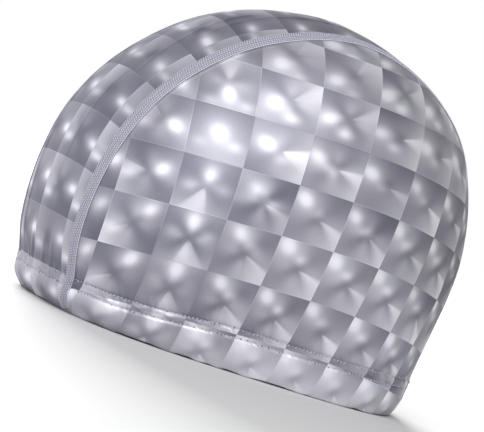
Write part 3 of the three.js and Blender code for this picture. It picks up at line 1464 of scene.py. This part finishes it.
@dataclass(frozen=True)
class SquareChart:
    """How the printed squares lie on a side panel, in millimetres.

    In front the columns are evenly wide. Behind the middle line each is narrower
    than the one before it, by twice the narrowing, and from far_column on they are
    evenly wide again. The rows droop by front_droop and back_droop at the ends, and
    the columns lean by lean for each millimetre of height about lean_height.
    """

    front_width: float = 25.6
    back_width: float = 25.0
    narrowing: float = 0.9
    least_square: float = 340.0
    far_column: float = 3.0
    far_start: float = 66.4
    far_width: float = 20.0
    middle: float = -0.5
    lean: float = 0.0016
    lean_height: float = 64.0
    lean_start: float = -76.0
    front_droop: float = 5.5
    front_end: float = 103.0
    back_droop: float = 7.0
    back_end: float = 67.0
    last_droop: float = 1.6
    height: float = 23.2
    first_row: float = 17.5

    def squares(self, along: np.ndarray, up: np.ndarray) -> np.ndarray:
        """The place in squares.

        Args:
            along: distance from the cap's middle along the level.
            up: distance up the side.

        Returns:
            The columns and rows of the points.
        """
        ahead_droop = self.front_droop * (along / self.front_end) ** 2
        behind_droop = self.back_droop * np.minimum(along / self.back_end, self.last_droop) ** 2
        droop = np.where(along < 0, ahead_droop, behind_droop)
        lean = 1 + self.lean * (up - self.lean_height)
        leaned = (along - self.lean_start) / lean + self.lean_start
        straight = np.where(along > self.lean_start, leaned, along)
        ahead = (straight - self.middle) / self.front_width
        square = self.back_width**2 - 4 * self.narrowing * (straight - self.middle)
        behind = (self.back_width - np.sqrt(np.maximum(square, self.least_square))) / (2 * self.narrowing)
        far = self.far_column + (straight - self.far_start) / self.far_width
        column = np.where(straight < self.middle, ahead, np.where(straight < self.far_start, behind, far))
        return np.stack([column, (up + droop - self.first_row) / self.height], -1)


@dataclass
class SidePanel(Panel):
    """The large panel over one side of the head."""

    columns: int = 420
    body_rows: int = 74
    end_spacing: float = 0.22
    hem_rows: int = 7
    stitch_rows: int = 22
    tuck: float = 0.0012
    chart_steps: int = 41

    def chart_distances(self, point: np.ndarray) -> tuple[np.ndarray, np.ndarray]:
        """Distances along and up the panel.

        Args:
            point: points on the form.

        Returns:
            The distance from the cap's middle along the level, and the one up the side.
        """
        level = np.arcsin(np.clip(point[..., 2] / self.form.crown_height, 0, NEAR_TOP))
        turn = np.arctan2(point[..., 1], point[..., 0])
        levels = np.radians(np.linspace(0, 89, 400))
        profile = self.form.dial(levels, 0 * levels)
        up = np.interp(level, levels, arc_of(profile))
        last = self.form.dial(level, 0 * turn)
        along = np.zeros_like(level)
        for share in np.linspace(0, 1, self.chart_steps)[1:]:
            ahead = self.form.dial(level, turn * share)
            along += np.linalg.norm(ahead - last, axis=-1)
            last = ahead
        return along * np.sign(turn), up

    def grid(self) -> Grid:
        """The panel's points: the hem's rows, then rows from the hem line to the seam.

        Returns:
            The grid.
        """
        shares = hem_shares(self.hem_rows, self.stitch_rows, self.form.hem_back, self.wrinkles.rim_radius)
        columns = np.linspace(0, 1, self.columns)

        def edge_points(stations: Stations) -> np.ndarray:
            """The panel's edge under the seam band at each station."""
            x = self.form.seam_offset(stations.fan) + self.form.seam_width / 2 - self.tuck
            return self.form.strip(stations, x[:, None])[:, 0]

        ones = np.ones(len(shares))
        front = edge_points(Stations(-ones, shares, -RIM_FAN * (1 - shares)))
        back = edge_points(Stations(ones, shares, 180 + RIM_FAN * (1 - shares)))
        rows = []
        for i, share in enumerate(shares):
            first = math.atan2(front[i, 1], front[i, 0])
            final = math.atan2(back[i, 1], back[i, 0])
            row = self.form.ring(share, 0, first + (final - first) * columns)
            row[0] = front[i]
            row[-1] = back[i]
            rows.append(row)
        fans = 180 * columns
        zero = np.zeros(self.columns)
        top = edge_points(Stations(zero, zero + 1, fans))
        top[0] = rows[-1][0]
        top[-1] = rows[-1][-1]

        def dial_of(point: np.ndarray) -> tuple[np.ndarray, np.ndarray]:
            """The level and turn of points."""
            level = np.arcsin(np.clip(point[:, 2] / self.form.crown_height, 0, 1))
            return level, np.arctan2(point[:, 1], point[:, 0])

        low_level, low_turn = dial_of(rows[-1])
        high_level, high_turn = dial_of(top)
        for share in body_shares(self.body_rows, self.end_spacing):
            level = low_level + (high_level - low_level) * share
            turn = low_turn + (high_turn - low_turn) * share
            rows.append(self.form.dial(level, turn))
        point = np.array(rows)
        along, up = self.chart_distances(point)
        return Grid(point, SquareChart().squares(along / MM, up / MM), along)

    def extra_relief(self, point: np.ndarray) -> np.ndarray:
        """The soft folds, and the low lip of cloth beside the seam band.

        Args:
            point: points on the form.

        Returns:
            The distance that the cloth stands out.
        """
        along, up = (distance / MM for distance in self.chart_distances(point))
        folds = 0 * along
        for row in SIDE_FOLDS:
            fold = dict(zip(FOLD_COLUMNS, row))
            middle = fold["along"] + fold["lean"] * (up - fold["low"])
            ends = smooth_step((up - fold["low"]) / 7) * smooth_step((fold["high"] - up) / 9)
            folds = folds + fold["rise"] * MM * ends * bell(along - middle, fold["width"])
        fan = self.form.fan_of(point)
        beside = point[..., 0] - self.form.seam_offset(fan) - self.form.seam_width / 2
        reach = smooth_step((fan - 14) / 14) * smooth_step((92 - fan) / 20)
        lip = bell(beside - 1.1 * self.wrinkles.lip_width, self.wrinkles.lip_width)
        return folds + self.wrinkles.lip * reach * lip

    def build(self, foil: bpy.types.Material, lining: bpy.types.Material) -> bpy.types.Object:
        """Builds the panel.

        Args:
            foil: its outside.
            lining: its inside.

        Returns:
            The piece.
        """
        grid = self.grid()
        piece = self.wall(f"{self.side.word}_side_cloth", grid)
        dress(piece, [foil, lining], f"{self.side.word}_side_panel")
        return piece

    def hem_lines(self) -> list[tuple[np.ndarray, np.ndarray]]:
        """The stitch rows along the hem, each from seam to seam.

        Returns:
            For each row its points on the form and their distances along the hem.
        """
        lines = []
        fans = np.array([0.0, 180.0])
        x = self.form.seam_offset(fans) + self.form.seam_width / 2
        ends = self.form.strip(Stations(np.array([-1, 1]), np.array([1, 1]), fans), x[:, None])[:, 0]
        turns = np.arctan2(ends[:, 1], ends[:, 0])
        for below in (0, self.wrinkles.row_gap):
            point = self.form.ring(1, below, np.linspace(turns[0], turns[1], 900))
            lines.append((point, self.chart_distances(point)[0]))
        return lines


@dataclass
class SeamBand:
    """A flat seam: its band of cloth and the rows of thread that cover it."""

    form: CapForm
    side: Side
    crown_rows: int = 330
    hem_rows: int = 6
    fine_rows: int = 12
    across_shares: tuple[float, ...] = (-1, -0.96, -0.86, -0.6, -0.2, 0.2, 0.6, 0.86, 0.96, 1)
    rise: float = 0.00035
    depth: float = 0.0012
    rim_radius: float = 0.0006
    thread_rows: tuple[float, ...] = (-0.9, -0.58, -0.26, 0.16, 0.52, 0.88)
    thread_start: float = 0.06
    thread_lean: float = 0.55
    pale_lean: float = 0.1
    thread_pitch: float = 0.00115
    thread_length: float = 0.001
    thread_width: float = 0.0006
    thread_height: float = 0.0003

    def surface(self, stations: Stations, across: np.ndarray) -> tuple[np.ndarray, np.ndarray]:
        """Points and outward directions along the seam.

        Args:
            stations: the rows.
            across: the distance from the seam's middle, for each row and column.

        Returns:
            The points on the swelled skin and their normals.
        """
        x = self.form.seam_offset(stations.fan)[:, None] + across
        point = self.form.strip(stations, x)
        share = point[..., 2] / self.form.hem_height(point[..., 1])
        normal = self.form.outward(point)
        relief = self.form.swell(share) * (share < 1) + self.form.front_swell(point)
        return point + normal * relief[..., None], normal

    def build(self, band: bpy.types.Material, threads: list[bpy.types.Material]) -> None:
        """Builds the band and its threads.

        Args:
            band: the band's material.
            threads: the materials of the threads and of the pale row at the side panel.
        """
        hem = hem_shares(self.hem_rows, self.fine_rows, self.form.hem_front, self.rim_radius)
        stations = Stations.spread(hem, self.crown_rows)
        shares = np.array(self.across_shares)
        profile = np.sqrt(np.maximum(1 - np.abs(shares) ** 6, 0))
        across = 0 * stations.fan[:, None] + shares[None, :] * self.form.seam_width / 2
        point, normal = self.surface(stations, across)
        outer = self.form.placed(point + normal * (self.rise * (2 * profile - 1))[None, :, None], self.side)
        inner = self.form.placed(point - normal * self.depth, self.side)
        chart = np.stack([across / self.form.seam_width, 0 * across], -1)
        piece = closed_wall(f"{self.side.word}_seam_band", outer, inner, chart)
        dress(piece, [band, band], f"{self.side.word}_seam")
        self.threads(threads)

    def threads(self, materials: list[bpy.types.Material]) -> None:
        """Sews the rows of short stitches on the band, as one joined mesh.

        Args:
            materials: the threads' material and the pale row's.
        """
        fine = Stations.spread(np.linspace(self.thread_start, 1, 24), 900)
        rows = np.array(self.thread_rows) * self.form.seam_width / 2
        point, normal = self.surface(fine, 0 * fine.fan[:, None] + rows[None, :])
        section = StitchSection(self.thread_width, self.thread_height, self.thread_length)
        meshes = []
        for row in range(len(rows)):
            line = point[:, row] + normal[:, row] * self.rise
            lean = self.pale_lean if row == len(rows) - 1 else self.thread_lean
            stitches = stitch_row(line, normal[:, row], self.thread_pitch, lean, 0.3 * row)
            points, faces = section.copies(*stitches)
            meshes.append((self.form.placed(points, self.side), faces))
        kinds = [0] * (len(rows) - 1) + [1]
        dress(joined(f"{self.side.word}_seam_threads", meshes, kinds), materials, None)


def joined(name: str, meshes: list[tuple[np.ndarray, list]], kinds: list[int]) -> bpy.types.Object:
    """Joins meshes to one object.

    Args:
        name: the piece's name.
        meshes: the points and the faces of each.
        kinds: the material number of each.

    Returns:
        The object.
    """
    faces, slots = [], []
    count = 0
    for (points, own_faces), kind in zip(meshes, kinds):
        faces += [[corner + count for corner in face] for face in own_faces]
        slots += [kind] * len(own_faces)
        count += len(points)
    piece = add_mesh(name, np.concatenate([points for points, _ in meshes]), faces)
    piece.data.polygons.foreach_set("material_index", slots)
    close_up(piece)
    return piece


def copied(points: np.ndarray, centres: np.ndarray, runs: np.ndarray, ups: np.ndarray) -> np.ndarray:
    """Copies of a small form, a row for each place.

    Args:
        points: the form's points, along x and standing on z.
        centres: where each copy lies.
        runs: the direction along each.
        ups: the outward direction of each.

    Returns:
        The points of the copies.
    """
    axes = np.stack([runs, np.cross(ups, runs), ups], 1)
    placed = np.einsum("pk,nkj->npj", points, axes) + centres[:, None, :]
    return placed.reshape(-1, 3)


def ring_faces(rings: int, corners: int, base: int) -> list[list[int]]:
    """The side faces of a stack of rings of points.

    Args:
        rings: how many rings.
        corners: the points of each.
        base: the number of the first point.

    Returns:
        The faces as vertex numbers.
    """
    faces = []
    for ring in range(rings - 1):
        for i in range(corners):
            start = base + ring * corners
            after = (i + 1) % corners
            faces.append([start + i, start + after, start + corners + after, start + corners + i])
    return faces


def end_faces(rings: int, corners: int, base: int) -> list[list[int]]:
    """The two end faces of a stack of rings of points, as vertex numbers."""
    last = base + (rings - 1) * corners
    return [[base + i for i in range(corners)][::-1], [last + i for i in range(corners)]]


def stitch_row(line: np.ndarray, normal: np.ndarray, pitch: float, lean: float, start: float) -> tuple:
    """Places stitches along a line.

    Args:
        line: points along it.
        normal: the outward direction at each point.
        pitch: the distance between stitches.
        lean: how far a stitch leans aside, as a share of its length.
        start: where the first stitch lies, in pitches.

    Returns:
        The stitches' centres, directions and outward directions.
    """
    arc = arc_of(line)
    places = np.arange((start + 0.5) * pitch, arc[-1] - 0.5 * pitch, pitch)

    def at(place: np.ndarray, values: np.ndarray) -> np.ndarray:
        """The line's values at places along it."""
        return np.stack([np.interp(place, arc, values[:, i]) for i in range(3)], -1)

    centre = at(places, line)
    up = at(places, normal)
    run = at(places + pitch / 2, line) - at(places - pitch / 2, line)
    run /= np.linalg.norm(run, axis=1, keepdims=True)
    aside = np.cross(up, run)
    run = run + aside * lean
    run /= np.linalg.norm(run, axis=1, keepdims=True)
    return centre, run, up


@dataclass(frozen=True)
class StitchSection:
    """One short stitch: a thread that comes up out of the cloth and goes down again."""

    width: float
    height: float
    length: float
    sink: float = 0.0001

    def one(self) -> np.ndarray:
        """The points of one stitch.

        Returns:
            Rings of points along x, standing on z.
        """
        along = np.array([-0.5, -0.3, 0, 0.3, 0.5]) * self.length
        full = np.array([0.35, 0.9, 1.0, 0.9, 0.35])
        around = np.radians(np.array([0, 60, 120, 180, 240, 300]))
        rings = []
        for x, size in zip(along, full):
            y = np.cos(around) * self.width / 2 * size
            z = np.sin(around) * self.height / 2 * size + self.height / 2 * size - self.sink
            rings.append(np.stack([0 * y + x, y, z], -1))
        return np.array(rings)

    def copies(self, centres: np.ndarray, runs: np.ndarray, ups: np.ndarray) -> tuple[np.ndarray, list]:
        """The stitch copied to many places.

        Args:
            centres: where each copy lies.
            runs: the direction along each.
            ups: the outward direction of each.

        Returns:
            The points and the faces.
        """
        rings = self.one()
        count, corners = rings.shape[:2]
        ups = ups - runs * (ups * runs).sum(1, keepdims=True)
        ups /= np.linalg.norm(ups, axis=1, keepdims=True)
        bases = np.arange(len(centres)) * count * corners
        faces = [face for base in bases for face in ring_faces(count, corners, base)]
        faces += [face for base in bases for face in end_faces(count, corners, base)]
        return copied(rings.reshape(-1, 3), centres, runs, ups), faces


@dataclass(frozen=True)
class HemSewing:
    """The stitches of a hem: short threads that dive into needle holes."""

    pitch: float = 0.0018
    length: float = 0.0014
    width: float = 0.0004
    height: float = 0.0003
    hole_radius: float = 0.00034
    jitter: float = 0.0002
    zigzag: float = 0.0003

    def sew(self, name: str, rows: list[tuple[np.ndarray, np.ndarray]]) -> bpy.types.Object:
        """Sews rows of stitches.

        Args:
            name: the piece's name.
            rows: each row's points and outward directions.

        Returns:
            The piece, with material 0 on the threads and 1, a dark painted shade, in the needle holes.
        """
        placed = [stitch_row(line, up, self.pitch, 0.0, 0.4 * i) for i, (line, up) in enumerate(rows)]
        centres, runs, ups = (np.concatenate(parts) for parts in zip(*placed))
        random = np.random.default_rng(SEED)
        asides = np.cross(ups, runs)
        centres = centres + runs * random.uniform(-1, 1, (len(runs), 1)) * self.jitter
        centres = centres + asides * random.uniform(-0.6, 0.6, (len(runs), 1)) * self.jitter
        turns = (-1.0) ** np.arange(len(runs))[:, None]
        leaning = runs + asides * turns * 2 * self.zigzag / self.pitch
        leaning /= np.linalg.norm(leaning, axis=1, keepdims=True)
        section = StitchSection(self.width, self.height, self.length)
        points, faces = section.copies(centres, leaning, ups)
        ends = centres + runs * self.pitch / 2 + asides * turns * self.zigzag
        return joined(name, [(points, faces), self.holes(ends, runs, ups)], [0, 1])

    def holes(self, centres: np.ndarray, runs: np.ndarray, ups: np.ndarray) -> tuple[np.ndarray, list]:
        """The needle holes as flat dark beads in the cloth, their colour painted shade.

        Args:
            centres: their places.
            runs: the direction of the row.
            ups: the outward directions.

        Returns:
            The points and the faces.
        """
        turns = np.radians(np.arange(0, 360, 45))
        flat = np.stack([np.cos(turns), np.sin(turns), 0 * turns], -1) * self.hole_radius
        low = flat + np.array([0, 0, -0.2 * MM])
        high = 0.6 * flat + np.array([0, 0, 0.06 * MM])
        bead = np.concatenate([low, flat, high])
        faces = []
        for base in np.arange(len(centres)) * len(bead):
            faces += ring_faces(3, len(turns), base) + end_faces(3, len(turns), base)
        return copied(bead, centres, runs, ups), faces


@dataclass(frozen=True)
class Studio:
    """The pale floor, the soft light and the camera at the photo's angle."""

    distance: float = 1.8
    azimuth: float = 64.8
    elevation: float = 2.79
    roll: float = 19.53
    lens: float = 298.96
    sensor: float = 36.0
    target: Triple = (0.0, 0.0089, 0.0783)
    centre_right: float = -0.01554
    centre_up: float = -0.01227
    key_way: Triple = (0.64, -0.25, 0.73)
    key_distance: float = 1.3
    key_size: float = 1.3
    key_power: float = 12.5
    floor_lamp_away: float = 1.6
    floor_lamp_height: float = 0.5
    floor_lamp_aside: float = 0.5
    floor_lamp_size: float = 0.9
    floor_lamp_power: float = 75.0
    floor_radius: float = 3.0
    floor_corners: int = 96
    floor_drop: float = 0.0001
    floor_grey: float = 0.58
    floor_roughness: float = 0.9
    fade_start: float = 0.6
    fade_end: float = 1.8
    front_tint: Triple = (0.965, 0.97, 1.0)
    behind_tint: Triple = (1.0, 1.0, 0.95)

    def axes(self) -> tuple[Vector, Vector, Vector]:
        """The camera's directions.

        Returns:
            Its right, up and backward directions.
        """
        a, e, r = (math.radians(x) for x in (self.azimuth, self.elevation, self.roll))
        back = Vector((math.sin(a) * math.cos(e), -math.cos(a) * math.cos(e), math.sin(e)))
        right = Vector((math.cos(a), math.sin(a), 0))
        up = back.cross(right)
        turned = right * math.cos(r) + up * math.sin(r)
        return turned, up * math.cos(r) - right * math.sin(r), back

    def camera(self) -> None:
        """Places the camera."""
        right, up, back = self.axes()
        aim = Vector(self.target) + right * self.centre_right + up * self.centre_up
        data = bpy.data.cameras.new("camera")
        data.lens = self.lens
        data.sensor_width = self.sensor
        data.clip_start = 0.05
        data.clip_end = 50
        camera = bpy.data.objects.new("camera", data)
        bpy.context.scene.collection.objects.link(camera)
        turn = Matrix((right, up, back)).transposed().to_4x4()
        camera.matrix_world = Matrix.Translation(aim + back * self.distance) @ turn
        bpy.context.scene.camera = camera

    def lamp(self, name: str, at: tuple[float, float, float], size: float, power: float) -> bpy.types.Object:
        """A soft square lamp that looks at the cap.

        Args:
            name: its name.
            at: its place.
            size: its side.
            power: its power in watts.

        Returns:
            The lamp.
        """
        data = bpy.data.lights.new(name, "AREA")
        data.size = size
        data.energy = power
        lamp = bpy.data.objects.new(name, data)
        bpy.context.scene.collection.objects.link(lamp)
        lamp.location = at
        lamp.rotation_euler = (Vector(self.target) - Vector(at)).to_track_quat("-Z", "Y").to_euler()
        lamp.visible_camera = False
        return lamp

    def world(self) -> None:
        """White for the camera, and a soft room of light for the cap."""
        world = bpy.data.worlds.new("studio")
        bpy.context.scene.world = world
        world.use_nodes = True
        tree = world.node_tree
        tree.nodes.clear()
        end = tree.nodes.new("ShaderNodeOutputWorld")
        seen = tree.nodes.new("ShaderNodeBackground")
        seen.inputs["Color"].default_value = (1, 1, 1, 1)
        seen.inputs["Strength"].default_value = 1.0
        room = tree.nodes.new("ShaderNodeBackground")
        coordinates = tree.nodes.new("ShaderNodeTexCoord")
        split = tree.nodes.new("ShaderNodeSeparateXYZ")
        tree.links.new(coordinates.outputs["Generated"], split.inputs[0])
        height = Wire(tree, split.outputs[2])
        depth = Wire(tree, split.outputs[1])
        behind = depth.step(0, 0.95)
        evenness = depth.step(0, -1) * 0.2 - behind * 0.7 + 1.0
        strength = (height.step(0.9, 0.2) * 0.8 + 0.38) * evenness
        strength.into(room.inputs["Strength"])
        tint = mixed_colour(tree, behind, self.front_tint, self.behind_tint)
        tree.links.new(tint, room.inputs["Color"])
        path = tree.nodes.new("ShaderNodeLightPath")
        mix = tree.nodes.new("ShaderNodeMixShader")
        tree.links.new(path.outputs["Is Camera Ray"], mix.inputs["Fac"])
        tree.links.new(room.outputs[0], mix.inputs[1])
        tree.links.new(seen.outputs[0], mix.inputs[2])
        tree.links.new(mix.outputs[0], end.inputs["Surface"])

    def floor(self) -> bpy.types.Object:
        """A pale round floor that fades into the white at its edge.

        Returns:
            The floor.
        """
        bpy.ops.object.select_all(action="DESELECT")
        place = (0, 0, -self.floor_drop)
        bpy.ops.mesh.primitive_circle_add(
            vertices=self.floor_corners, radius=self.floor_radius, fill_type="NGON", location=place
        )
        floor = bpy.context.object
        floor.name = "floor"
        material = bpy.data.materials.new("pale_floor")
        material.use_nodes = True
        tree = material.node_tree
        surface = tree.nodes["Principled BSDF"]
        surface.inputs["Base Color"].default_value = (*[self.floor_grey] * 3, 1)
        surface.inputs["Roughness"].default_value = self.floor_roughness
        coordinates = tree.nodes.new("ShaderNodeTexCoord")
        length = tree.nodes.new("ShaderNodeVectorMath")
        length.operation = "LENGTH"
        tree.links.new(coordinates.outputs["Object"], length.inputs[0])
        fade = Wire(tree, length.outputs["Value"]).step(self.fade_start, self.fade_end)
        fade.plus_times(-1.0, 1.0).into(surface.inputs["Alpha"])
        floor.data.materials.append(material)
        return floor

    def build(self) -> None:
        """Builds the studio."""
        self.camera()
        self.world()
        floor = self.floor()
        _, _, back = self.axes()
        side = Vector((back.y, -back.x, 0)).normalized()
        away = -Vector((back.x, back.y, 0)).normalized()
        key = Vector(self.key_way) * self.key_distance + Vector(self.target)
        self.lamp("key", tuple(key), self.key_size, self.key_power)
        behind = away * self.floor_lamp_away + side * self.floor_lamp_aside
        behind.z += self.floor_lamp_height
        floor_lamp = self.lamp("floor_lamp", tuple(behind), self.floor_lamp_size, self.floor_lamp_power)
        only_floor = bpy.data.collections.new("floor_only")
        only_floor.objects.link(floor)
        floor_lamp.light_linking.receiver_collection = only_floor
        bpy.context.scene.view_settings.view_transform = "Standard"


def main() -> None:
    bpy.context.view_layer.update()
    Studio().build()
    form = CapForm()
    wrinkles = Wrinkles(form)
    lining = KnitLining().build("knit_lining")
    side_foil = FoilCloth().build("side_foil")
    # Its focus places the centre strip's painted highlights towards the right of its squares
    centre_foil = FoilCloth(
        focus_across=4.5,
        focus_up=2.0,
        focus_lean=0.0,
        swing_across=0.44,
        swing_up=0.12,
        spot_size=0.115,
        level=0.22,
    ).build("centre_foil")
    band = SewingThread(colour=(0.25, 0.245, 0.295)).build("seam_band")
    thread = SewingThread(colour=(0.48, 0.47, 0.56)).build("seam_thread")
    pale_thread = SewingThread(colour=(0.62, 0.61, 0.7)).build("pale_seam_thread")
    hem_thread = SewingThread(colour=(0.55, 0.54, 0.62)).build("hem_thread")
    # Dark painted shade for the needle holes
    hole_shade = SewingThread(colour=(0.12, 0.12, 0.14)).build("needle_hole_shade")
    sewing = HemSewing()
    centre = CentrePanel(form, wrinkles, seed=SEED + 7)
    centre.build(centre_foil, lining)
    centre.stitches("centre_hem_stitches", centre.hem_lines(), sewing, [hem_thread, hole_shade])
    for side in Side:
        panel = SidePanel(form, wrinkles, side, seed=SEED + side.value)
        panel.build(side_foil, lining)
        panel.stitches(f"{side.word}_hem_stitches", panel.hem_lines(), sewing, [hem_thread, hole_shade])
        SeamBand(form, side).build(band, [thread, pale_thread])


if __name__ == "__main__":
    main()
